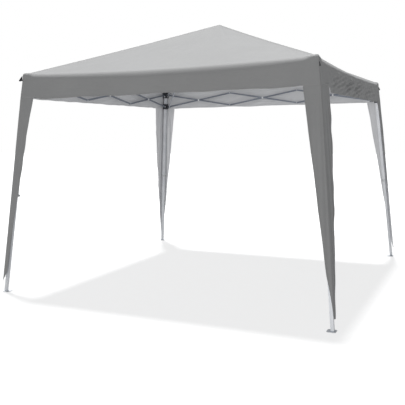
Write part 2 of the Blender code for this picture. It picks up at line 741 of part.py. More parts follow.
def profile(c):
    """(half side, height) of every ring, from the peak to the hem, at c from -1 to 1."""
    from_corner = (1 - abs(c)) * EAVE
    bow = 1 - c * c
    fold = Z_EAVE_CORNER - EAVE_DIP * bow ** 0.8
    truss_z = TRUSS_LINE_Z + TRUSS_LINE_RISE * (1 - bow)
    shoulder_z = fold + SHOULDER_UP
    if from_corner < ON_BRACKET:
        truss_z = shoulder_z = Z_CORNER + BRACKET_LIFT
    eave_z = fold - EAVE_DOWN
    flare = HEM_OUT + CORNER_OUT * (1 - min(1.0, from_corner / CORNER_FADE))
    return [
        *((HALF_TOP * share, roof_height(share, c)) for share in ROOF_RINGS),
        (TRUSS_HALF, truss_z), (SHOULDER_HALF, shoulder_z), (EAVE, eave_z),
        *((EAVE + flare * share, eave_z + (Z_HEM - eave_z) * share) for share in HEM_RINGS),
    ]


def canopy_sheet():
    sheet = Shell()

    def add(turn, x, y, z):
        """A point given on the front side, turned onto its own side."""
        cosine, sine = turn
        sheet.points.append((cosine * x - sine * y, sine * x + cosine * y, z))
        return len(sheet.points) - 1

    places = [s / EAVE - 1 for s in STATIONS[:-1]]
    profiles = [(turn, c, profile(c)) for turn in QUARTER_TURNS for c in places]
    grid = []
    for ring in range(len(profiles[0][2])):
        row = []
        for turn, c, heights in profiles:
            half, z = heights[ring]
            row.append(add(turn, half * c, -half, z))
        grid.append(row)
    peak = add(QUARTER_TURNS[0], 0, 0, Z_APEX)
    count = len(profiles)
    for i in range(count):
        j = (i + 1) % count
        sheet.faces.append([peak, grid[0][i], grid[0][j]])
        for inner, outer in zip(grid, grid[1:]):
            sheet.faces.append([inner[i], outer[i], outer[j], inner[j]])

    # leg covers: the columns round each corner carry on down from the hem
    columns = range(-COVER_COLUMNS, COVER_COLUMNS + 1)
    for side, turn in enumerate(QUARTER_TURNS):
        last = [grid[-1][side * len(places) + k] for k in columns]
        for z in COVER_ROWS:
            fallen = (Z_EAVE_CORNER - z) / (Z_EAVE_CORNER - COVER_TIP_Z)
            half = EAVE + (COVER_END - EAVE) * fallen
            width = COVER_TIP_WIDTH + COVER_TAPER * (z - COVER_TIP_Z)
            now = []
            for k in columns:
                inboard = -half + STATIONS[abs(k)] / STATIONS[COVER_COLUMNS] * width
                x, y = (inboard, -half) if k >= 0 else (-half, inboard)
                now.append(add(turn, x, y, z))
            for k in range(2 * COVER_COLUMNS):
                sheet.faces.append([last[k], now[k], now[k + 1], last[k + 1]])
            last = now
    return sheet


def add_canopy():
    canopy = place("canopy", canopy_sheet(), "cloth", Matrix.Identity(4), smooth=True)
    cloth = canopy.modifiers.new("cloth", "SOLIDIFY")
    cloth.thickness = CLOTH
    cloth.offset = -1.0
    cloth.use_even_offset = True


# ------------------------------------------------------------------- assembly
all_corners = [Corner(name, sx, sy) for name, (sx, sy) in CORNERS.items()]
for each in all_corners:
    add_bracket(each)
    add_upper_leg(each)
    add_release_pin(each)
    add_lower_leg(each)
    add_slider(each)
    add_rafter(each)
for side_name, ends in SIDES.items():
    add_truss(side_name, *ends)
add_hub(all_corners)
add_canopy()
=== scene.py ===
"""Looks for the pop-up gazebo: the sewn canopy and its leg covers as real sheets,
procedural materials for every piece, small fittings, and a plain studio."""
import json
import math

import bpy
import numpy as np
from mathutils import Matrix, Vector

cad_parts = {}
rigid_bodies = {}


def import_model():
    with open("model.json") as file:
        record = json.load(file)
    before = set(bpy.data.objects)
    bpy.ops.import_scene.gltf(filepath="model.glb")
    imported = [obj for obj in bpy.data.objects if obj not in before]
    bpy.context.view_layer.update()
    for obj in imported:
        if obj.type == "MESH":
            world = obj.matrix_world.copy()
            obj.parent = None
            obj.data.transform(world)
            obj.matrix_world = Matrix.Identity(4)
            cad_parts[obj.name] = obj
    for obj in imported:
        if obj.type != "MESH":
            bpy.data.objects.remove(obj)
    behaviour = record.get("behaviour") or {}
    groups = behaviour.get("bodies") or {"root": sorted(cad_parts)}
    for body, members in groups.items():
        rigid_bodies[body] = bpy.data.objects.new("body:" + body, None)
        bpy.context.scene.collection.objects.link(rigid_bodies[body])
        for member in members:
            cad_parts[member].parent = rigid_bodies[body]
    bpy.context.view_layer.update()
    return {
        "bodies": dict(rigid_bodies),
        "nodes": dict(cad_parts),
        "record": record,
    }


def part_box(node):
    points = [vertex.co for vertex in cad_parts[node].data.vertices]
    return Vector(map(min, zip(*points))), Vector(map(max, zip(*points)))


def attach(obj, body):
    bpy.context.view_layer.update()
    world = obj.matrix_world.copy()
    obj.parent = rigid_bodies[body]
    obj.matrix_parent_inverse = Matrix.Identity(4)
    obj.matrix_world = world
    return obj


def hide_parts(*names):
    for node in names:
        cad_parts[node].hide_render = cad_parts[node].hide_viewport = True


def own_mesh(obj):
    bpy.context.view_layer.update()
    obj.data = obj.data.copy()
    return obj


for old in list(bpy.data.objects):
    bpy.data.objects.remove(old, do_unlink=True)

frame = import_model()
scene = bpy.context.scene
CORNERS = {"front_left": (-1, -1), "front_right": (1, -1), "back_right": (1, 1), "back_left": (-1, 1)}
SIDES = ("front", "right", "back", "left")


def mid(node):
    lo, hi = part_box(node)
    return (lo + hi) / 2


# ---------------------------------------------------------------- where things are
HALF_TOP = 1.310
EAVE = 1.342
Z_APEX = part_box("canopy")[1].z
Z_EAVE_CORNER = 1.951
Z_HEM = 1.750
COVER_END, COVER_TIP = 1.515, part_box("canopy")[0].z
LEAN = math.atan((1.500 - 1.310) / 1.930 * math.sqrt(2))
FOLDED_LEAN = math.radians(1.41)
Z_PIVOT = 1.930

# ======================================================================= materials


class Nodes:
    """A short way to write a node tree."""

    def __init__(self, name):
        self.material = bpy.data.materials.new(name)
        self.material.use_nodes = True
        self.tree = self.material.node_tree
        self.shader = self.tree.nodes["Principled BSDF"]

    def new(self, kind, inputs=None, **settings):
        made = self.tree.nodes.new("ShaderNode" + kind)
        for key, value in settings.items():
            setattr(made, key, value)
        for key, value in (inputs or {}).items():
            self.put(made.inputs[key], value)
        return made

    def put(self, socket, value):
        if isinstance(value, bpy.types.NodeSocket):
            self.tree.links.new(value, socket)
        elif isinstance(value, bpy.types.Node):
            self.tree.links.new(value.outputs[0], socket)
        else:
            if hasattr(socket, "default_value") and hasattr(socket.default_value, "__len__") and isinstance(value, tuple) \
                    and len(value) == 3 and len(socket.default_value) == 4:
                value = (*value, 1.0)
            socket.default_value = value

    def math(self, op, a, b=0.0, clamp=False):
        made = self.new("Math", operation=op, use_clamp=clamp)
        self.put(made.inputs[0], a)
        self.put(made.inputs[1], b)
        return made.outputs[0]

    def ramp(self, value, low, high):
        """0 below low, 1 above high, straight between."""
        made = self.new("MapRange", {"Value": value, "From Min": low, "From Max": high})
        made.clamp = True
        return made.outputs[0]

    def mix(self, share, a, b):
        made = self.new("Mix", data_type="RGBA")
        self.put(made.inputs[0], share)
        self.put(made.inputs[6], a)
        self.put(made.inputs[7], b)
        return made.outputs[2]

    def set(self, **values):
        for key, value in values.items():
            self.put(self.shader.inputs[key.replace("_", " ")], value)


def noise(n, vector, scale, detail=3.0, rough=0.55):
    return n.new("TexNoise", {"Vector": vector, "Scale": scale, "Detail": detail, "Roughness": rough}).outputs["Fac"]


def cloth_material(name, colour, light, inside=False):
    """Coated plain weave.  The sheet's UV map is in metres along its threads, and its
    vertex attributes seam and along give the distance to the nearest stitched seam and the way along it."""
    n = Nodes(name)
    uv = n.new("UVMap").outputs[0]
    parts = n.new("SeparateXYZ", {0: uv})
    u, v = parts.outputs[0], parts.outputs[1]
    obj = n.new("TexCoord").outputs["Object"]
    # threads, about two per millimetre drawn as a fine crossing wave
    warp = n.math("SINE", n.math("MULTIPLY", u, 2 * math.pi / 0.0011))
    weft = n.math("SINE", n.math("MULTIPLY", v, 2 * math.pi / 0.0011))
    weave = n.math("MULTIPLY", warp, weft)
    thick = noise(n, n.new("Mapping", {"Vector": uv, "Scale": (900.0, 26.0, 1.0)}).outputs[0], 1.0, 1.0)
    thin = noise(n, n.new("Mapping", {"Vector": uv, "Scale": (26.0, 900.0, 1.0)}).outputs[0], 1.0, 1.0)
    slub = n.math("ADD", thick, thin)
    cloud = noise(n, obj, 2.3, 4.0, 0.6)
    crush = noise(n, obj, 17.0, 5.0, 0.62)
    # stitched seams: two rows of stitches and a doubled hem between them
    seam = n.new("Attribute", attribute_name="seam").outputs["Fac"]
    along = n.new("Attribute", attribute_name="along").outputs["Fac"]
    band = n.math("SUBTRACT", 1.0, n.ramp(seam, 0.0125, 0.0145))
    rows = None
    for at in (0.0025, 0.0105):
        off = n.math("ABSOLUTE", n.math("SUBTRACT", seam, at))
        row = n.math("SUBTRACT", 1.0, n.ramp(off, 0.0004, 0.0009))
        rows = row if rows is None else n.math("MAXIMUM", rows, row)
    dash = n.math("SINE", n.math("MULTIPLY", along, 2 * math.pi / 0.0045))
    stitch = n.math("MULTIPLY", rows, n.ramp(dash, -0.35, -0.1))
    pull = n.math("MULTIPLY", n.math("SUBTRACT", 1.0, n.ramp(seam, 0.004, 0.045)),
                  noise(n, n.new("Mapping", {"Vector": uv, "Scale": (70.0, 70.0, 1.0)}).outputs[0], 1.0, 2.0))
    dark = tuple(c * 0.80 for c in colour)
    base = n.mix(n.ramp(cloud, 0.30, 0.72), tuple(c * 0.955 for c in colour), tuple(min(1.0, c * 1.03) for c in colour))
    base = n.mix(n.math("MULTIPLY", n.ramp(slub, 0.8, 1.25), 0.30), base, dark)
    base = n.mix(n.math("MULTIPLY", n.ramp(weave, 0.1, 0.9), 0.16), base, light)
    base = n.mix(n.math("MULTIPLY", band, 0.35), base, dark)
    base = n.mix(n.math("MULTIPLY", stitch, 0.55), base, light)
    height = n.math("ADD", n.math("MULTIPLY", weave, 0.00006), n.math("MULTIPLY", slub, 0.00010))
    height = n.math("ADD", height, n.math("MULTIPLY", band, 0.0006))
    height = n.math("ADD", height, n.math("MULTIPLY", stitch, 0.0005))
    height = n.math("ADD", height, n.math("MULTIPLY", pull, 0.0010))
    height = n.math("ADD", height, n.math("MULTIPLY", crush, 0.0016 if not inside else 0.0012))
    bump = n.new("Bump", {"Height": height, "Distance": 1.0, "Strength": 0.55})
    rough = n.math("ADD", 0.60 if not inside else 0.42, n.math("MULTIPLY", crush, 0.16))
    n.set(Base_Color=base, Roughness=rough, Normal=bump.outputs[0])
    n.shader.inputs["Sheen Weight"].default_value = 0.25 if not inside else 0.05
    n.shader.inputs["Sheen Roughness"].default_value = 0.45
    n.shader.inputs["Specular IOR Level"].default_value = 0.35 if not inside else 0.5
    if inside:
        n.shader.inputs["Metallic"].default_value = 0.18
    return n.material


def steel_material(name, colour, rough, metallic, scale=1.0, wear=0.6):
    """Powder-coated or plated steel: fine orange peel, drawn streaks, worn and dirty edges."""
    n = Nodes(name)
    obj = n.new("TexCoord").outputs["Object"]
    peel = noise(n, obj, 900.0 * scale, 2.0)
    blotch = noise(n, obj, 9.0, 5.0, 0.6)
    streak = noise(n, n.new("Mapping", {"Vector": obj, "Scale": (160.0, 160.0, 3.0)}).outputs[0], 1.0, 3.0)
    scratch = noise(n, n.new("Mapping", {"Vector": obj, "Scale": (420.0, 420.0, 14.0)}).outputs[0], 1.0, 2.0, 0.7)
    geo = n.new("NewGeometry")
    edge = n.math("MULTIPLY", n.ramp(geo.outputs["Pointiness"], 0.515, 0.60), n.ramp(blotch, 0.35, 0.75))
    base = n.mix(n.ramp(streak, 0.30, 0.72), tuple(c * 0.90 for c in colour), tuple(min(1.0, c * 1.06) for c in colour))
    base = n.mix(n.math("MULTIPLY", n.ramp(scratch, 0.62, 0.80), 0.35 * wear), base, tuple(min(1.0, c * 1.5 + 0.05) for c in colour))
    base = n.mix(n.math("MULTIPLY", edge, wear), base, tuple(min(1.0, c * 1.45 + 0.08) for c in colour))
    roughness = n.math("ADD", rough - 0.08, n.math("MULTIPLY", n.math("ADD", blotch, streak), 0.09))
    height = n.math("ADD", n.math("MULTIPLY", peel, 0.00006), n.math("MULTIPLY", scratch, 0.00008))
    bump = n.new("Bump", {"Height": height, "Distance": 1.0, "Strength": 0.5})
    n.set(Base_Color=base, Roughness=roughness, Metallic=metallic, Normal=bump.outputs[0])
    return n.material


def plastic_material(name, colour, rough=0.5):
    n = Nodes(name)
    obj = n.new("TexCoord").outputs["Object"]
    grain = noise(n, obj, 1400.0, 2.0)
    blotch = noise(n, obj, 22.0, 4.0)
    scuff = noise(n, n.new("Mapping", {"Vector": obj, "Scale": (240.0, 90.0, 30.0)}).outputs[0], 1.0, 3.0, 0.65)
    geo = n.new("NewGeometry")
    edge = n.ramp(geo.outputs["Pointiness"], 0.52, 0.62)
    base = n.mix(n.ramp(blotch, 0.3, 0.7), colour, tuple(c * 1.35 + 0.004 for c in colour))
    base = n.mix(n.math("MULTIPLY", n.ramp(scuff, 0.62, 0.8), 0.35), base, tuple(c * 2.2 + 0.03 for c in colour))
    base = n.mix(n.math("MULTIPLY", edge, 0.35), base, tuple(c * 2.0 + 0.03 for c in colour))
    bump = n.new("Bump", {"Height": n.math("MULTIPLY", grain, 0.00012), "Distance": 1.0, "Strength": 0.6})
    n.set(Base_Color=base, Roughness=n.math("ADD", rough - 0.06, n.math("MULTIPLY", blotch, 0.14)), Normal=bump.outputs[0])
    return n.material


def webbing_material(name, colour):
    n = Nodes(name)
    uv = n.new("UVMap").outputs[0]
    parts = n.new("SeparateXYZ", {0: uv})
    ribs = n.math("SINE", n.math("MULTIPLY", n.math("ADD", parts.outputs[0], parts.outputs[1]), 2 * math.pi / 0.0016))
    picks = n.math("SINE", n.math("MULTIPLY", n.math("SUBTRACT", parts.outputs[0], parts.outputs[1]), 2 * math.pi / 0.0016))
    weave = n.math("MAXIMUM", ribs, picks)
    base = n.mix(n.ramp(weave, 0.0, 0.9), tuple(c * 0.6 for c in colour), tuple(c * 1.5 for c in colour))
    bump = n.new("Bump", {"Height": n.math("MULTIPLY", weave, 0.0003), "Distance": 1.0, "Strength": 0.7})
    n.set(Base_Color=base, Roughness=0.85, Normal=bump.outputs[0])
    return n.material


OUTSIDE = (0.270, 0.270, 0.269)
INSIDE = (0.74, 0.745, 0.760)
MATERIALS = {
    "cloth_outside": cloth_material("cloth_outside", OUTSIDE, (0.46, 0.46, 0.455)),
    "cloth_inside": cloth_material("cloth_inside", INSIDE, (0.84, 0.845, 0.855), inside=True),
    "leg_steel": steel_material("leg_steel_look", (0.68, 0.70, 0.73), 0.38, 0.35),
    # truss bars and rafters: the same silver powder coat as the legs, given darker colours as painted shade under the
    # canopy
    "bar_steel": steel_material("bar_steel_painted_shade_look", (0.20, 0.22, 0.26), 0.36, 0.45),
    "rafter_steel": steel_material("rafter_steel_painted_shade_look", (0.42, 0.44, 0.48), 0.40, 0.45),
    "plastic": plastic_material("plastic_look", (0.032, 0.035, 0.042), 0.45),
    # bolt, rivet and washer heads: plated steel, made near-white as a painted highlight that stands in for their glints
    "bright": steel_material("bright_glint_look", (0.86, 0.87, 0.89), 0.28, 0.40, wear=0.2),
    "foot": steel_material("foot_look", (0.46, 0.50, 0.56), 0.44, 0.6),
    "pale_plastic": plastic_material("pale_plastic_look", (0.50, 0.51, 0.52), 0.40),
    # rope tab webbing: near-black as painted shade on the tab
    "webbing": webbing_material("webbing_painted_shade_look", (0.045, 0.045, 0.047)),
}


def dress(obj, *looks):
    obj.data.materials.clear()
    for look in looks:
        obj.data.materials.append(MATERIALS[look])


slots = {s["node"]: s["material_slot"] for s in frame["record"]["subparts"]}
for name, node in frame["nodes"].items():
    look = slots[name]
    if look == "cloth":
        continue
    dress(node, look)
    if look in ("plastic", "leg_steel"):
        edge = node.modifiers.new("edge", "BEVEL")
        edge.width = 0.0011 if look == "plastic" else 0.0018
        edge.segments = 2
        edge.limit_method = "ANGLE"
        edge.angle_limit = math.radians(40)
        edge.harden_normals = False
    elif look in ("bar_steel", "rafter_steel"):
        edge = node.modifiers.new("edge", "BEVEL")
        edge.width = 0.0014
        edge.segments = 2
        edge.limit_method = "ANGLE"
        edge.angle_limit = math.radians(50)
    for polygon in node.data.polygons:
        polygon.use_smooth = False

# ====================================================================== the canopy
# One sheet: the roof, a soft fold at the eave, and the valance.  Rows run from the
# peak outward and down.  Every side has the same columns, and the four sides share
# the hip seams, so the sheet is one connected surface.

rng = np.random.default_rng(7)


def smooth(x):
    x = np.clip(x, 0.0, 1.0)
    return x * x * (3 - 2 * x)


def bump(x, width):
    return np.exp(-(x / width) ** 2)


def waves(seed, count, low, high):
    """A sum of sines with fixed random phases: a function of one variable in metres, about -1 to 1."""
    r = np.random.default_rng(seed)
    lengths, phases, sizes = r.uniform(low, high, count), r.uniform(0, 2 * math.pi, count), r.uniform(0.5, 1.0, count)
    sizes /= sizes.sum()
    return lambda x: sum(a * np.sin(2 * math.pi * x / l + p) for l, p, a in zip(lengths, phases, sizes))


# per side: depth of the eave sag, where along the side it is deepest, hem level change at the two ends
SIDE_SHAPE = {
    "front": dict(sag=0.066, at=0.12, hem=(-0.013, -0.006), ripple=0.0040, diag=0.0012, crush=0.003),
    "right": dict(sag=0.040, at=-0.45, hem=(-0.036, 0.000), ripple=0.0050, diag=0.0085, crush=0.045),
    "back": dict(sag=0.050, at=-0.10, hem=(0.0, 0.004), ripple=0.0050, diag=0.0030, crush=0.005),
    "left": dict(sag=0.045, at=0.10, hem=(0.004, -0.004), ripple=0.0060, diag=0.0040, crush=0.006),
}
CELLS = 132


def stations():
    """Shares along a side, -1 to 1, closer together towards the corners."""
    t = np.linspace(-1, 1, CELLS + 1)
    return np.sign(t) * (1 - (1 - np.abs(t)) ** 1.25)


C = stations()
ROOF_ROWS = 46
FOLD_ROWS = 9
DROP_ROWS = 26


def fold_line(side, c):
    """Height of the middle of the eave fold at share c."""
    s = SIDE_SHAPE[side]
    if side == "right":
        w = (1 + c) / 2
        return (Z_EAVE_CORNER - 0.034 * (1 - np.exp(-w / 0.025)) + 0.032 * w ** 1.3
                + waves(14, 4, 0.3, 0.9)(c * EAVE) * 0.0022 * smooth((1 - np.abs(c)) / 0.2))
    skew = c - s["at"] * (1 - c * c)
    bow = np.clip(1 - np.abs(skew) ** 2.0, 0, 1)
    extra = waves(11 + SIDES.index(side), 4, 0.5, 1.3)(c * EAVE) * 0.004 * bow
    return Z_EAVE_CORNER - s["sag"] * bow ** 0.9 + extra


def hem_line(side, c):
    s = SIDE_SHAPE[side]
    a, b = s["hem"]
    t = (c + 1) / 2
    level = a * (1 - t) + b * t
    free = smooth((past_cover(side, c) - 0.002) / 0.07)
    small = waves(31 + SIDES.index(side), 5, 0.22, 0.9)(c * EAVE) * 0.0055
    return Z_HEM + (level + small) * free


def roof_point(side, c, far):
    """(out, z) over a share c of the half width far * 1.31."""
    hip = np.abs(c)
    z = Z_APEX - (Z_APEX - 1.9655) * far
    z = z - 0.020 * np.sin(math.pi * np.minimum(far, 1.0)) * (0.35 + 0.65 * (1 - hip))
    z = z - 0.028 * far ** 1.6 * (1 - hip ** 2)
    # slack between the hips, and soft folds that run from the peak and from the corners
    fan = waves(51 + SIDES.index(side), 6, 0.18, 0.6)(c * 1.6) * 0.0011 * np.sin(math.pi * np.minimum(far, 1)) * (1 - hip ** 4)
    pull = waves(61 + SIDES.index(side), 5, 0.16, 0.45)(far * 1.7 - hip * 0.9) * 0.0016 * smooth((hip - 0.45) / 0.5) * far * (1 - bump(1 - hip, 0.03))
    z = z + fan + pull
    # the hips ride on the rafters: a slight ridge with the felled seam
    z = z + 0.0035 * bump((1 - hip) * far * 1.31, 0.012)
    return z


COVER_WIDE = {("front_left", "front"): 0.066, ("front_left", "left"): 0.075,
              ("front_right", "front"): 0.069, ("front_right", "right"): 0.151,
              ("back_right", "right"): 0.075, ("back_right", "back"): 0.082,
              ("back_left", "back"): 0.082, ("back_left", "left"): 0.136}
FLARE = {("front_right", "right"): 0.010, ("back_left", "left"): 0.009, ("back_right", "right"): -0.006,
         ("front_left", "left"): -0.006, ("front_left", "front"): 0.004, ("front_right", "front"): 0.003,
         ("back_left", "back"): 0.010, ("back_right", "back"): 0.006}
ENDS = {"front": ("front_left", "front_right"), "right": ("front_right", "back_right"),
        "back": ("back_right", "back_left"), "left": ("back_left", "front_left")}


def cover_width(corner, side, z):
    tip = {("front_left", "front"): 0.036, ("front_right", "front"): 0.021}.get((corner, side), 0.0110)
    pointed = 0.004 + {("front_right", "front"): 0.125, ("front_left", "front"): 0.42}.get((corner, side), 0.22) * (z - COVER_TIP)
    return min(tip + COVER_WIDE[(corner, side)] * (z - COVER_TIP), pointed)


def past_cover(side, c):
    """Distance along the hem beyond the free edge of the nearer cover; negative where a cover hangs."""
    first, second = (cover_width(corner, side, Z_HEM) for corner in ENDS[side])
    return np.minimum((1 + c) * EAVE - first, (1 - c) * EAVE - second)


def flare_across(side, c):
    """How far the free edges of the two covers pull the hem outward, along a side."""
    total = 0
    for corner, dist in zip(ENDS[side], ((1 + c) * EAVE, (1 - c) * EAVE)):
        wide = cover_width(corner, side, Z_HEM)
        rise = np.minimum(dist / wide, 1.0) ** 2
        fall = 1 - smooth((dist - wide) / 0.30)
        total = total + FLARE[(corner, side)] * rise * fall
    return total


def crown(c):
    """Half width of the square that the bracket holds up at each corner, as a smooth 0 to 1."""
    d = (1 - np.abs(c)) * EAVE
    return 1 - smooth((d - 0.045) / 0.060)


def sheet(side):
    """Grid of the side in its own axes: along, out, z, and texture distances, shape (rows, columns, ...)."""
    rows = []
    s = SIDE_SHAPE[side]
    fold = fold_line(side, C)
    hem = hem_line(side, C)
    top = crown(C)
    tags = []
    # roof rows
    fars = np.linspace(0.0, 1.0, ROOF_ROWS + 1) ** 0.92
    # the front fold is broad and soft, the others turn over more sharply
    fars = fars * (0.988 if side == "front" else 0.992)
    for far in fars:
        half = 1.310 * far
        z = roof_point(side, C, far)
        rows.append(np.stack([half * C, np.full_like(C, half), z], axis=1))
        tags.append(("roof", far))
    edge_z = rows[-1][:, 2]
    # fold rows: a curve that leaves the roof at its slope and ends upright
    p0 = np.stack([np.full_like(C, 1.310 * fars[-1]), edge_z], axis=1)
    slope = -(0.40) * np.ones_like(C)
    over = (1.3200 if side == "front" else 1.3275) + (0.0205 if side == "front" else 0.0130) * top
    z_over = np.maximum(edge_z + slope * 0.6 * (over - p0[:, 0]), 1.9345 ) * (1 - top) + (edge_z - 0.0025) * top
    p1 = np.stack([over, z_over], axis=1)
    p2 = np.stack([np.full_like(C, EAVE + 0.0002), z_over], axis=1)
    share = 0.55 if side == "front" else 0.72
    p2[:, 1] = z_over * (share + (0.95 - share) * top) + (fold - 0.010) * (1 - share - (0.95 - share) * top)
    p3 = np.stack([np.full_like(C, EAVE + 0.0006), fold - 0.024], axis=1)
    for k in range(1, FOLD_ROWS + 1):
        t = k / FOLD_ROWS
        b = (1 - t) ** 3 * p0 + 3 * (1 - t) ** 2 * t * p1 + 3 * (1 - t) * t ** 2 * p2 + t ** 3 * p3
        half, z = b[:, 0], b[:, 1]
        rows.append(np.stack([half * C, half, z], axis=1))
        tags.append(("fold", t))
    # valance rows
    base_half, base_z = rows[-1][:, 1], rows[-1][:, 2]
    near = 1 - np.minimum(1.0, (1 - np.abs(C)) * EAVE / 0.35)
    ripple = waves(71 + SIDES.index(side), 6, 0.20, 0.62)
    diag = waves(81 + SIDES.index(side), 5, 0.16, 0.42)
    fine = (0.13, 0.34, 0.17, 0.42) if side == "right" else (0.07, 0.20, 0.10, 0.26)
    crush_a, crush_b = waves(91 + SIDES.index(side), 5, *fine[:2]), waves(95 + SIDES.index(side), 5, *fine[2:])
    free = smooth((past_cover(side, C) - 0.002) / 0.12)
    flare = flare_across(side, C)
    for k in range(1, DROP_ROWS + 1):
        t = k / DROP_ROWS
        z = base_z + (hem - base_z) * t
        half = base_half + (0.004 + 0.0155 * near) * t
        x = C * EAVE
        out = s["ripple"] * ripple(x + 0.10 * t) * t ** 1.2 * free
        out = out + s["diag"] * diag(x * 1.0 - 0.9 * (t * 0.19) * 2.2) * math.sin(math.pi * min(1.0, 0.08 + t * 0.92) * 0.85) * free
        out = out - 0.003 * t * free * (1 - near) + flare * t ** 1.5
        crumple = crush_a(x * 1.0 + t * 0.35) * crush_b(x * 0.7 - t * 0.6) * s["crush"]
        out = out + crumple * math.sin(math.pi * min(1.0, 0.05 + 0.95 * t) * 0.9) * free
        row = np.stack([half * C, half + out, z], axis=1)
        rows.append(row)
        tags.append(("drop", t))
    return np.array(rows), tags


def turn_side(points, side):
    """From (along, out, z) of a side to x, y, z."""
    a, b, c, d = {"front": (1, 0, 0, -1), "right": (0, 1, 1, 0), "back": (-1, 0, 0, 1), "left": (0, -1, -1, 0)}[side]
    # x = a * along + b * out, y = c * along + d * out
    along, out, z = points[..., 0], points[..., 1], points[..., 2]
    return np.stack([a * along + b * out, c * along + d * out, z], axis=-1)


# ---- the folded bundle: where the same sheet goes when the frame is closed
FOLD_HALF = 0.1345          # leg axes from the middle of the folded frame
HUB_SHIFT = Vector((-1.1755, 1.1755, -0.511))
PLEATS = 9


def folded_point(tag, value, c):
    """(along, out, z) in the folded frame, centred on the bundle.

    The roof comes out over the brackets, hangs outside as a pleated skirt with its top
    face outward, turns under and comes back up behind itself to the eave; the valance
    hangs between the two layers."""
    frame_half = FOLD_HALF + 0.056
    phase = (c + 1) / 2 * PLEATS
    tip = 1 - np.abs(2 * (phase - np.floor(phase)) - 1)
    tip = 0.6 * smooth(tip) + 0.4 * tip
    tip = tip * (0.80 + 0.20 * np.sin(5.1 * c + 0.7))
    edge = smooth((1 - np.abs(c)) / 0.07)
    outer, inner = frame_half + 0.036, frame_half + 0.008
    hem = 1.600 + 0.035 * np.sin(7.3 * c + 1.0) * edge
    if tag == "roof":
        # knots: share of the roof, radius, height, pleat depth
        knots = ((0.0, 0.0, 1.992, 0.0), (0.20, 0.110, 1.990, 0.0), (0.30, 0.178, 1.984, 0.004), (0.36, 0.200, 1.972, 0.016),
                 (0.40, outer, 1.945, 0.030), (0.66, outer + 0.002, 1.66, 0.056), (0.69, outer - 0.004, 0.0, 0.055),
                 (0.72, (outer + inner) / 2, -0.008, 0.052), (0.75, inner, 0.004, 0.048), (1.0, inner - 0.004, 1.935, 0.020))
        shares = [k[0] for k in knots]
        radius = np.interp(value, shares, [k[1] for k in knots])
        depth = np.interp(value, shares, [k[3] for k in knots])
        heights = [k[2] if k[2] > 0.5 else hem + k[2] for k in knots]
        z = 0.0 * c
        for i in range(len(knots) - 1):
            if knots[i][0] <= value <= knots[i + 1][0]:
                w = (value - knots[i][0]) / (knots[i + 1][0] - knots[i][0])
                z = heights[i] * (1 - w) + heights[i + 1] * w + 0.0 * c
        return c * radius, radius + tip * depth * edge, z
    if tag == "fold":
        radius = inner - 0.004 + 0.011 * value
        return c * radius, radius + tip * edge * (0.020 + 0.006 * value), 1.935 + 0.012 * math.sin(math.pi * value) - 0.010 * value + 0 * c
    radius = inner + 0.007 + 0.005 * value
    return c * radius, radius + tip * edge * (0.026 + 0.018 * value), 1.925 - 0.175 * value + 0 * c


def build_canopy():
    verts, folded, uvs, seam, along, faces = [], [], [], [], [], []
    index = {}
    grids = {}
    seam_half = {}
    for side in SIDES:
        rows, tags = sheet(side)
        world = turn_side(rows, side)
        fold_rows = []
        for (tag, value) in tags:
            a, o, z = folded_point(tag, value, C)
            fold_rows.append(np.stack([a, o, z], axis=1))
        bundle = turn_side(np.array(fold_rows), side)
        # distances along the sheet
        step = np.linalg.norm(np.diff(rows[:, CELLS // 2], axis=0), axis=1)
        down = np.concatenate([[0], np.cumsum(step)])
        total = down[-1]
        ids = np.zeros(rows.shape[:2], int)
        for r in range(rows.shape[0]):
            for c in range(rows.shape[1]):
                if r == 0:
                    key = "peak"
                elif c == 0:
                    key = (SIDES.index(side), r)
                elif c == CELLS:
                    key = ((SIDES.index(side) + 1) % 4, r)
                else:
                    key = (side, r, c)
                p = world[r, c]
                if key in index:
                    ids[r, c] = index[key]
                    continue
                index[key] = ids[r, c] = len(verts)
                verts.append(p)
                folded.append(bundle[r, c])
                x = rows[r, c, 0]
                to_hip = (1 - abs(C[c])) * max(rows[r, c, 1], 1e-4) * (0.74 if tags[r][0] == "roof" else 1.0)
                to_hem = total - down[r] + (0.03 if past_cover(side, C[c]) < -0.002 else 0.0)
                d = min(to_hip, to_hem)
                seam.append(d)
                along.append(x if to_hem <= to_hip else down[r])
        grids[side] = ids
        for r in range(rows.shape[0] - 1):
            for c in range(CELLS):
                quad = [ids[r, c], ids[r, c + 1], ids[r + 1, c + 1], ids[r + 1, c]]
                if r == 0:
                    quad = [ids[0, c], ids[1, c + 1], ids[1, c]]
                # the outside of the sheet faces out and up
                quad = quad[::-1]
                faces.append(quad)
                here = {}
                for rr, cc in ((r, c), (r, c + 1), (r + 1, c + 1), (r + 1, c)):
                    here[ids[rr, cc]] = (rows[rr, cc, 0] + 4.0 * SIDES.index(side), down[rr])
                uvs.append([here[i] for i in quad])
    mesh = bpy.data.meshes.new("canopy_sheet")
    mesh.from_pydata([tuple(v) for v in verts], [], faces)
    layer = mesh.uv_layers.new(name="UVMap")
    flat = [uv for face in uvs for uv in face]
    layer.data.foreach_set("uv", np.array(flat, np.float32).ravel())
    for name, values in (("seam", seam), ("along", along)):
        attribute = mesh.attributes.new(name, "FLOAT", "POINT")
        attribute.data.foreach_set("value", np.array(values, np.float32))
    obj = bpy.data.objects.new("canopy_sheet", mesh)
    scene.collection.objects.link(obj)
    return obj, np.array(verts), np.array(folded), grids


canopy, rest_points, bundle_points, grids = build_canopy()


def finish_sheet(obj, thickness=0.0009):
    for polygon in obj.data.polygons:
        polygon.use_smooth = True
    obj.data.materials.append(MATERIALS["cloth_outside"])
    obj.data.materials.append(MATERIALS["cloth_inside"])
    wall = obj.modifiers.new("thickness", "SOLIDIFY")
    wall.thickness = thickness
    wall.offset = -1.0
    wall.use_even_offset = False
    wall.material_offset = 1
    wall.material_offset_rim = 0


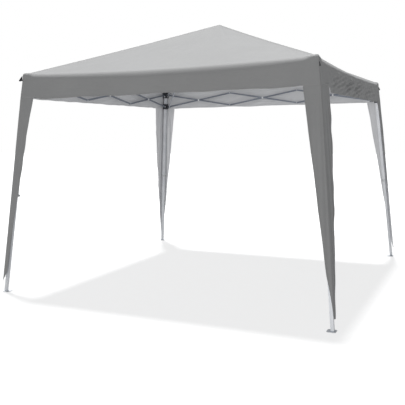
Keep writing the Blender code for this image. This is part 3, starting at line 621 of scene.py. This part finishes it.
# make sure that the outside faces out
def face_out(obj, centre=Vector((0, 0, 1.2))):
    mesh = obj.data
    total = sum((p.center - centre).dot(p.normal) * p.area for p in mesh.polygons)
    if total < 0:
        mesh.flip_normals()


face_out(canopy)
finish_sheet(canopy)

# the folded shape, as a shape key that follows the hub down
canopy.shape_key_add(name="open")
key = canopy.shape_key_add(name="folded")
middle = np.array([-1.1755, 1.1755, 0.0])
target = bundle_points + middle
local = target - np.array(HUB_SHIFT)
key.data.foreach_set("co", local.astype(np.float32).ravel())
key.slider_min, key.slider_max = 0.0, 1.0
key.value = 0.0
driver = key.driver_add("value").driver
driver.type = "SCRIPTED"
variable = driver.variables.new()
variable.name = "x"
variable.type = "TRANSFORMS"
variable.targets[0].id = frame["bodies"]["hub"]
variable.targets[0].transform_type = "LOC_X"
variable.targets[0].transform_space = "WORLD_SPACE"
driver.expression = "x * -0.85070"
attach(canopy, "hub")
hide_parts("canopy")

# ================================================================== the leg covers


def build_cover(corner):
    """A tapered cover: two flat faces that meet in a soft fold on the leg's outer edge."""
    sx, sy = CORNERS[corner]
    r = np.random.default_rng(100 + sx * 3 + sy)
    # sides: k < 0 runs along y, k > 0 along x
    rows_z = np.concatenate([np.linspace(Z_HEM + 0.030, Z_HEM, 5)[:-1], np.linspace(Z_HEM, COVER_TIP, 122)])
    half_cells = 18
    ks = np.linspace(-1, 1, 2 * half_cells + 1)
    side_x = "front" if sy < 0 else "back"          # the face that runs along x
    side_y = "right" if sx > 0 else "left"          # the face that runs along y
    wave_a = waves(200 + sx + 2 * sy, 4, 0.35, 0.9)
    wave_b = waves(220 + sx + 2 * sy, 4, 0.30, 0.8)
    pleat = waves(240 + sx + 2 * sy, 4, 0.040, 0.095)
    pull = waves(260 + sx + 2 * sy, 4, 0.10, 0.24)
    verts, uvs, seam, along = [], [], [], []
    for z in rows_z:
        t = max((Z_HEM - z) / (Z_HEM - COVER_TIP), 0.0)
        half = EAVE + (COVER_END - EAVE) * (Z_EAVE_CORNER - z) / (Z_EAVE_CORNER - COVER_TIP) + 0.0019 + 0.0022 * smooth(t / 0.10)
        hidden = 0.0014 * smooth((z - Z_HEM + 0.016) / 0.014)
        for k in ks:
            side = side_x if k >= 0 else side_y
            width = cover_width(corner, side, min(z, Z_HEM))
            edge_shift = 0.004 * wave_a(z) * smooth(t / 0.10) * (1 - smooth((t - 0.93) / 0.07))
            s = abs(k) * (width + edge_shift * abs(k) - (0.003 if z > Z_HEM - 0.001 else 0.0))
            deep = smooth(t / 0.20) * (1 - 0.6 * smooth((t - 0.5) / 0.5))
            wrinkle = (0.0046 * (0.75 + pleat(s + 0.02 * z)) + 0.0024 * (0.6 + pull(z + 0.6 * s)) * abs(k)) * deep * smooth(abs(k) / 0.25)
            loose = 0.0020 * (0.7 + (wave_b(z) if k > 0 else wave_a(z + 0.3))) * smooth(t / 0.12) * k * k
            flare = FLARE[(corner, side)] * k * k * max(0.0, (min(z, Z_HEM) - COVER_TIP) / (Z_HEM - COVER_TIP)) ** 0.9
            tuck = 0.0155 * min(1.0, s / 0.35) * (1 - smooth(t / 0.55))
            out = wrinkle + loose + flare - tuck - hidden
            soft = 0.0024 * math.exp(-(s / 0.006) ** 2) * smooth((t + 0.02) / 0.10)
            h = half - soft
            if k >= 0:
                x, y = -h + s, -(half + out - soft)
            else:
                x, y = -(half + out - soft), -h + s
            verts.append((-sx * x, -sy * y, z))
            d = min(abs((1 - abs(k)) * width), abs(z - COVER_TIP))
            seam.append(d if abs(k) > 0.02 else min(d, s + 0.02))
            along.append(z if (1 - abs(k)) * width < abs(z - COVER_TIP) else s)
            uvs.append((math.copysign(s, k), z))
    cols = len(ks)
    faces = []
    for r_ in range(len(rows_z) - 1):
        for c in range(cols - 1):
            a = r_ * cols + c
            faces.append([a, a + 1, a + cols + 1, a + cols])
    mesh = bpy.data.meshes.new("leg_cover_" + corner)
    mesh.from_pydata(verts, [], faces)
    layer = mesh.uv_layers.new(name="UVMap")
    flat = [uvs[i] for f in faces for i in f]
    layer.data.foreach_set("uv", np.array(flat, np.float32).ravel())
    for name, values in (("seam", seam), ("along", along)):
        attribute = mesh.attributes.new(name, "FLOAT", "POINT")
        attribute.data.foreach_set("value", np.array(values, np.float32))
    obj = bpy.data.objects.new("leg_cover_" + corner, mesh)
    scene.collection.objects.link(obj)
    centre = Vector((sx * 1.30, sy * 1.30, 0.9))
    total_out = sum((p.center - Vector((0, 0, p.center.z))).dot(p.normal) * p.area for p in mesh.polygons)
    if total_out < 0:
        mesh.flip_normals()
    finish_sheet(obj)
    # apply the thickness
    graph = bpy.context.evaluated_depsgraph_get()
    done = bpy.data.meshes.new_from_object(obj.evaluated_get(graph), depsgraph=graph)
    obj.modifiers.clear()
    obj.data = done
    obj.data.name = "leg_cover_" + corner
    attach(obj, "upper_leg_" + corner)
    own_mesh(obj)
    return obj


covers = {corner: build_cover(corner) for corner in CORNERS}

# ================================================================ the small fittings


class Collector:
    """Collects little turned and flat shapes into one mesh."""

    def __init__(self):
        self.verts, self.faces, self.looks, self.uvs = [], [], [], []

    def grid(self, rings, closed=True, look=0, cap_start=False, cap_end=False):
        start = len(self.verts)
        count = len(rings[0])
        for ring in rings:
            self.verts += [tuple(p) for p in ring]
        for r in range(len(rings) - 1):
            for i in range(count if closed else count - 1):
                j = (i + 1) % count
                a, b = start + r * count, start + (r + 1) * count
                self.faces.append([a + i, a + j, b + j, b + i])
                self.looks.append(look)
        if cap_start:
            self.faces.append([start + i for i in range(count)][::-1])
            self.looks.append(look)
        if cap_end:
            end = start + (len(rings) - 1) * count
            self.faces.append([end + i for i in range(count)])
            self.looks.append(look)

    def dome(self, at, axis, radius, height, look=0, count=16, base=0.0):
        """A rivet or bolt head standing on a face."""
        axis = Vector(axis).normalized()
        side = axis.orthogonal().normalized()
        other = axis.cross(side)
        rings = []
        for k in range(7):
            a = k / 6 * math.pi / 2
            r, h = radius * math.cos(a) ** 0.75, base + height * math.sin(a)
            if k == 6:
                r = radius * 0.04
            rings.append([Vector(at) + axis * h + (side * math.cos(2 * math.pi * i / count) + other * math.sin(2 * math.pi * i / count)) * r
                          for i in range(count)])
        first = [Vector(at) - axis * 0.0004 + (p - Vector(at) - axis * base) for p in rings[0]]
        self.grid([first] + rings, look=look, cap_end=True)

    def lathe(self, at, axis, profile, look=0, count=20, cap=True):
        axis = Vector(axis).normalized()
        side = axis.orthogonal().normalized()
        other = axis.cross(side)
        rings = [[Vector(at) + axis * h + (side * math.cos(2 * math.pi * i / count) + other * math.sin(2 * math.pi * i / count)) * r
                  for i in range(count)] for r, h in profile]
        self.grid(rings, look=look, cap_start=cap, cap_end=cap)

    def make(self, name, *looks, smooth_angle=35):
        mesh = bpy.data.meshes.new(name)
        mesh.from_pydata(self.verts, [], self.faces)
        mesh.validate()
        for look in looks:
            mesh.materials.append(MATERIALS[look])
        for polygon, look in zip(mesh.polygons, self.looks):
            polygon.material_index = look
            polygon.use_smooth = True
        layer = mesh.uv_layers.new(name="UVMap")
        co = [mesh.vertices[l.vertex_index].co for l in mesh.loops]
        layer.data.foreach_set("uv", np.array([(c.x + c.y, c.z) for c in co], np.float32).ravel())
        obj = bpy.data.objects.new(name, mesh)
        scene.collection.objects.link(obj)
        obj.data.set_sharp_from_angle(angle=math.radians(smooth_angle))
        return obj


def bar_axes(node):
    """The points of a flat bar, read from the node's own mesh."""
    pts = np.array([v.co for v in frame["nodes"][node].data.vertices], float)
    return pts


# rivets on the truss bars: at each crossing and each joint, seen from outside and inside
EAR, DROP, Z_TRUSS = 0.045, 0.145, 1.920
SPAN = (2 * 1.310 - 2 * EAR) / 3
SIDE_ENDS = {"front": ("front_left", "front_right"), "right": ("front_right", "back_right"),
             "back": ("back_right", "back_left"), "left": ("back_left", "front_left")}
for side, (first, second) in SIDE_ENDS.items():
    a = Vector((*CORNERS[first], 0)) * 1.310
    b = Vector((*CORNERS[second], 0)) * 1.310
    t = (b - a).normalized()
    out = t.cross(Vector((0, 0, 1)))

    def at(s, z, layer):
        return a + t * s + Vector((0, 0, z)) + out * layer

    s0, s1, s2, s3 = (EAR + i * SPAN for i in range(4))
    zh, zl = Z_TRUSS, Z_TRUSS - DROP
    zm = (zh + zl) / 2
    outer_face, inner_face = 0.0035, -0.012
    spots = {
        "fall_1": [((s0 + s1) / 2, zm, 1), (s0, zh, 1), (s1, zl, 1)],
        "rise_1": [((s0 + s1) / 2, zm, -1), (s0, zl, -1), (s1, zh, -1)],
        "rise_2": [((s1 + s2) / 2, zm, -1), (s1, zl, -1), (s2, zh, -1)],
        "fall_2": [((s1 + s2) / 2, zm, 1), (s1, zh, 1), (s2, zl, 1)],
        "rise_3": [((s2 + s3) / 2, zm, -1), (s2, zl, -1), (s3, zh, -1)],
        "fall_3": [((s2 + s3) / 2, zm, 1), (s2, zh, 1), (s3, zl, 1)],
    }
    for bar, places in spots.items():
        c = Collector()
        for s, z, face in places:
            big = abs(z - zm) < 1e-6
            where = at(s, z, outer_face if face > 0 else inner_face)
            # a washer under the head, then the head; the crossings carry larger bolts, whose near-white heads and
            # washers are a painted highlight
            c.lathe(where + out * face * -0.0002, out * face, [(0.0078, 0.0), (0.0082, 0.0004), (0.0082, 0.0010), (0.0076, 0.0013)], look=1) if not big else c.lathe(where + out * face * -0.0002, out * face, [(0.0100, 0.0), (0.0106, 0.0004), (0.0106, 0.0010), (0.0096, 0.0014)], look=0)
            c.dome(where, out * face, 0.0070 if big else 0.0055, 0.0042 if big else 0.0034, look=0, base=0.0012)
        obj = c.make(f"rivets_{side}_{bar}", "bright", "bar_steel")
        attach(obj, f"truss_{side}_{bar}")

# fittings at each corner
for corner, (sx, sy) in CORNERS.items():
    p, q = Vector((-sx, 0, 0)), Vector((0, -sy, 0))
    inward = (p + q).normalized()
    line = inward.cross(Vector((0, 0, 1)))
    tilt = Matrix.Rotation(-LEAN, 3, line)
    leg_up = tilt @ Vector((0, 0, 1))
    lp, lq = tilt @ p, tilt @ q
    top = Vector((sx * 1.310, sy * 1.310, Z_PIVOT))

    def on_leg(z):
        return top - leg_up * ((Z_PIVOT - z) / leg_up.z)

    def square_ring(centre, half, round_=0.004, steps=4):
        out = []
        for k, (ca, cb) in enumerate(((1, 1), (-1, 1), (-1, -1), (1, -1))):
            for i in range(steps + 1):
                ang = k * math.pi / 2 + i / steps * math.pi / 2
                u_ = ca * (half - round_) + round_ * math.cos(ang)
                v_ = cb * (half - round_) + round_ * math.sin(ang)
                out.append(centre + lp * u_ + lq * v_)
        return out

    # plastic collar that closes the lower end of the upper tube
    c = Collector()
    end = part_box("upper_leg_" + corner)[0].z + 0.006
    base = on_leg(end)
    profile = [(0.0136, -0.0065), (0.0180, -0.0065), (0.0196, -0.0045), (0.0198, 0.014), (0.0188, 0.0185), (0.0158, 0.0195)]
    c.grid([square_ring(base + leg_up * h, r) for r, h in profile])
    knob_at = base + leg_up * 0.005 + (lp + lq).normalized() * 0.0225
    c.lathe(knob_at, (lp + lq).normalized(), [(0.0060, -0.004), (0.0060, 0.002), (0.0095, 0.003), (0.0105, 0.006), (0.0095, 0.0105), (0.0060, 0.012)])
    collar = c.make("tube_collar_" + corner, "pale_plastic")
    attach(collar, "upper_leg_" + corner)

    # slider: moulded ribs and one flat bolt head
    c = Collector()
    seat = mid("slider_" + corner)
    zs = 1.7745
    centre = on_leg(zs)
    for h in (-0.0265, -0.0195, 0.0195, 0.0265):
        ring = [(0.0238, h - 0.0016), (0.0244, h - 0.0008), (0.0244, h + 0.0008), (0.0238, h + 0.0016)]
        c.grid([square_ring(centre + leg_up * hh, r, 0.003) for r, hh in ring])
    for direction, here in ((-lp, centre - lp * 0.0238 + leg_up * 0.012),):
        c.lathe(here, direction, [(0.0050, -0.001), (0.0050, 0.0004), (0.0082, 0.0006), (0.0088, 0.0014), (0.0084, 0.0024), (0.0066, 0.0030)], look=1)
    ribs = c.make("slider_trim_" + corner, "plastic", "bright")
    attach(ribs, "slider_" + corner)

    # bolts on the bracket: one through each outer face and one on each ear
    c = Collector()
    for along, across in ((p, q), (q, p)):
        c.dome(top - across * 0.0250 + Vector((0, 0, -0.024)), -across, 0.0060, 0.0032, look=0, base=0.0002)
        c.dome(top + along * 0.045 + Vector((0, 0, -0.010)) - across * -0.0 + across * (-0.0125 - 0.0002), -across, 0.0055, 0.0030, look=0)
    for along, across in ((p, q), (q, p)):
        c.dome(top + across * 0.0250 + along * -0.004 + Vector((0, 0, -0.026)), across, 0.0080, 0.0042, look=0, base=0.0002)
    trim = c.make("bracket_bolts_" + corner, "bright")
    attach(trim, "bracket_" + corner)

    # weld bead round the foot of the lower tube
    c = Collector()
    foot_top = 0.0052
    base = on_leg(foot_top)
    rings = []
    for k in range(6):
        a = k / 5 * math.pi / 2
        r = 0.0124 + 0.0042 * (1 - math.sin(a))
        h = 0.0040 * (1 - math.cos(a))
        rings.append([Vector((pt.x, pt.y, foot_top + h)) for pt in square_ring(base, r, 0.003, 5)])
    rings = [[pt + Vector((0, 0, 0.00035 * math.sin(i * 2.4))) for i, pt in enumerate(ring)] for ring in rings]
    c.grid(rings)
    weld = c.make("weld_" + corner, "foot", smooth_angle=60)
    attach(weld, "lower_leg_" + corner)

# rivets at the knees, the hub ears and the struts
KNEE = {}
for corner, (sx, sy) in CORNERS.items():
    inward = Vector((-sx, -sy, 0)).normalized()
    line = inward.cross(Vector((0, 0, 1)))
    for node in ("lower_rafter_", "upper_rafter_", "strut_"):
        pts = np.array([v.co for v in frame["nodes"][node + corner].data.vertices], float)
        h = pts @ np.array(inward)
        w = pts @ np.array(line)
        c = Collector()
        body = pts[(h > np.quantile(h, 0.02))]
        face = {"lower_rafter_": 0.0105, "upper_rafter_": 0.0105, "strut_": -0.0210}[node]
        side_sign = 1 if face > 0 else -1
        for end in ("low", "high"):
            at_end = pts[np.argsort(h)[:10]] if end == "low" else pts[np.argsort(h)[-10:]]
            centre = at_end.mean(axis=0)
            tipward = 0.0070 if end == "low" else -0.0070
            d = (pts[np.argsort(h)[-10:]].mean(axis=0) - pts[np.argsort(h)[:10]].mean(axis=0))
            d = Vector(d).normalized()
            spot = Vector(centre) + d * tipward
            if node == "lower_rafter_":
                continue
            spot = spot - line * (spot.dot(line)) + line * (face + (0.0023 if side_sign > 0 else -0.0023))
            c.dome(spot, line * side_sign, 0.0060, 0.0030)
        if c.verts:
            obj = c.make(f"rivets_{node}{corner}", "bright")
            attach(obj, node + corner)

# webbing tab under each corner of the eave, for a guy rope; its near-black colour is painted shade
for corner, (sx, sy) in CORNERS.items():
    c = Collector()
    # a doubled flap of webbing sewn into the corner seam; the front left one stands out further
    reach = 0.029 if corner == "front_left" else 0.013
    high, low, tip = (1.948, 1.902, 1.898) if corner == "front_left" else (1.918, 1.886, 1.884)
    outward = Vector((sx, sy, 0)).normalized()
    line = outward.cross(Vector((0, 0, 1)))
    for layer in (-1, 1):
        rings = []
        for k in range(9):
            w = k / 8
            x = -0.0015 + (reach + 0.0015) * w
            top_z = high + (tip + 0.010 - high) * w + 0.0015 * math.sin(math.pi * w)
            low_z = low + (tip - low) * w - 0.0008 * math.sin(math.pi * w)
            side_way = line * layer * (0.0012 - 0.0003 * w)
            foot = Vector((sx * 1.3458, sy * 1.3458, 0)) + outward * x + side_way
            thin = line * 0.0006
            rings.append([foot + thin + Vector((0, 0, top_z)), foot - thin + Vector((0, 0, top_z)),
                          foot - thin + Vector((0, 0, low_z)), foot + thin + Vector((0, 0, low_z))])
        c.grid(rings, cap_start=True, cap_end=True)
    tab = c.make("rope_tab_" + corner, "webbing")
    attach(tab, "bracket_" + corner)

# ==================================================================== the studio
floor = bpy.data.meshes.new("floor")
floor.from_pydata([(-40, -40, -0.0006), (40, -40, -0.0006), (40, 40, -0.0006), (-40, 40, -0.0006)], [], [(0, 1, 2, 3)])
floor_obj = bpy.data.objects.new("floor", floor)
scene.collection.objects.link(floor_obj)
n = Nodes("floor_look")
n.tree.nodes.remove(n.shader)
output = n.tree.nodes["Material Output"]
diffuse = n.new("BsdfDiffuse", {"Color": (0.80, 0.80, 0.80)})
where = n.new("NewGeometry").outputs["Position"]
# painted shadow: the floor's glow for camera rays is dimmed within 2.1 m of (0.2, -0.4), the middle of the gazebo's
# cast shadow, and rises to full white by 4.2 m; the sun's cast shadow gives the shape, the dimmed glow gives its grey
from_shadow_centre = n.new("VectorMath", {0: n.new("VectorMath", {0: where, 1: (0.2, -0.4, 0.0)}, operation="SUBTRACT").outputs[0]},
             operation="LENGTH").outputs["Value"]
seen = n.new("LightPath").outputs["Is Camera Ray"]
camera_glow_with_painted_shadow = n.math("ADD", 0.765, n.math("MULTIPLY", n.ramp(from_shadow_centre, 2.1, 4.2), 0.28))
strength = n.new("Mix", data_type="FLOAT")
n.put(strength.inputs[0], seen)
strength.inputs[2].default_value = 0.50
n.put(strength.inputs[3], camera_glow_with_painted_shadow)
glow = n.new("Emission", {"Color": (1.0, 1.0, 1.0), "Strength": strength.outputs[0]})
dull = n.new("Mix", data_type="RGBA")
n.put(dull.inputs[0], seen)
dull.inputs[6].default_value = (0.10, 0.10, 0.10, 1)
dull.inputs[7].default_value = (0.20, 0.20, 0.20, 1)
n.put(diffuse.inputs["Color"], dull.outputs[2])
both = n.new("AddShader")
n.tree.links.new(glow.outputs[0], both.inputs[0])
n.tree.links.new(diffuse.outputs[0], both.inputs[1])
n.tree.links.new(both.outputs[0], output.inputs[0])
floor.materials.append(n.material)

world = bpy.data.worlds.new("studio")
scene.world = world
world.use_nodes = True
tree = world.node_tree
back = tree.nodes["Background"]
back.inputs[0].default_value = (1, 1, 1, 1)
back.inputs[1].default_value = 1.0
dim = tree.nodes.new("ShaderNodeBackground")
dim.inputs[0].default_value = (0.93, 0.96, 1.0, 1)
dim.inputs[1].default_value = 0.36
# the room is a little darker on the +X side
where = tree.nodes.new("ShaderNodeTexCoord")
split = tree.nodes.new("ShaderNodeSeparateXYZ")
fall = tree.nodes.new("ShaderNodeMath")
fall.operation = "MULTIPLY_ADD"
fall.inputs[1].default_value = -0.17
fall.inputs[2].default_value = 0.36
tree.links.new(where.outputs["Generated"], split.inputs[0])
tree.links.new(split.outputs[0], fall.inputs[0])
tree.links.new(fall.outputs[0], dim.inputs[1])
path = tree.nodes.new("ShaderNodeLightPath")
mix = tree.nodes.new("ShaderNodeMixShader")
tree.links.new(path.outputs["Is Camera Ray"], mix.inputs[0])
tree.links.new(dim.outputs[0], mix.inputs[1])
tree.links.new(back.outputs[0], mix.inputs[2])
tree.links.new(mix.outputs[0], tree.nodes["World Output"].inputs[0])


def softbox(name, place, target, size, power, colour=(1, 1, 1)):
    data = bpy.data.lights.new(name, "AREA")
    data.shape = "RECTANGLE"
    data.size, data.size_y = size
    data.energy = power
    data.color = colour
    obj = bpy.data.objects.new(name, data)
    scene.collection.objects.link(obj)
    obj.location = place
    obj.rotation_mode = "QUATERNION"
    obj.rotation_quaternion = (Vector(target) - Vector(place)).to_track_quat("-Z", "Y")
    return obj


sun = bpy.data.lights.new("key", "SUN")
sun.energy = 4.35
sun.angle = math.radians(5.0)
sun_obj = bpy.data.objects.new("key", sun)
scene.collection.objects.link(sun_obj)
sun_obj.rotation_mode = "QUATERNION"
sun_obj.rotation_quaternion = Vector((0.30, -0.42, -1.95)).to_track_quat("-Z", "Y")
sun_obj.location = (0, 0, 6)
softbox("front", (0.8, -9.0, 1.5), (0, 0, 1.5), (5.0, 2.4), 150.0, (1.0, 0.995, 0.99))

# the main camera: position, aim and lens
YAW, PITCH, ROLL = -0.4320, -0.1078, -0.0098
forward = Vector((math.sin(YAW) * math.cos(PITCH), math.cos(YAW) * math.cos(PITCH), math.sin(PITCH)))
right = Vector((math.cos(YAW), -math.sin(YAW), 0))
up = right.cross(forward)
right2 = right * math.cos(ROLL) + up * math.sin(ROLL)
up2 = up * math.cos(ROLL) - right * math.sin(ROLL)
camera = bpy.data.cameras.new("camera")
camera.sensor_width = 36.0
camera.lens = 54.31
camera.clip_start, camera.clip_end = 0.05, 200.0
camera_obj = bpy.data.objects.new("camera", camera)
scene.collection.objects.link(camera_obj)
camera_obj.matrix_world = Matrix.Translation((2.435, -5.7213, 1.3937)) @ Matrix((right2, up2, -forward)).transposed().to_4x4()
scene.camera = camera_obj
scene.view_settings.view_transform = "Standard"
scene.view_settings.look = "None"
scene.view_settings.exposure = 0.0

bpy.context.view_layer.update()
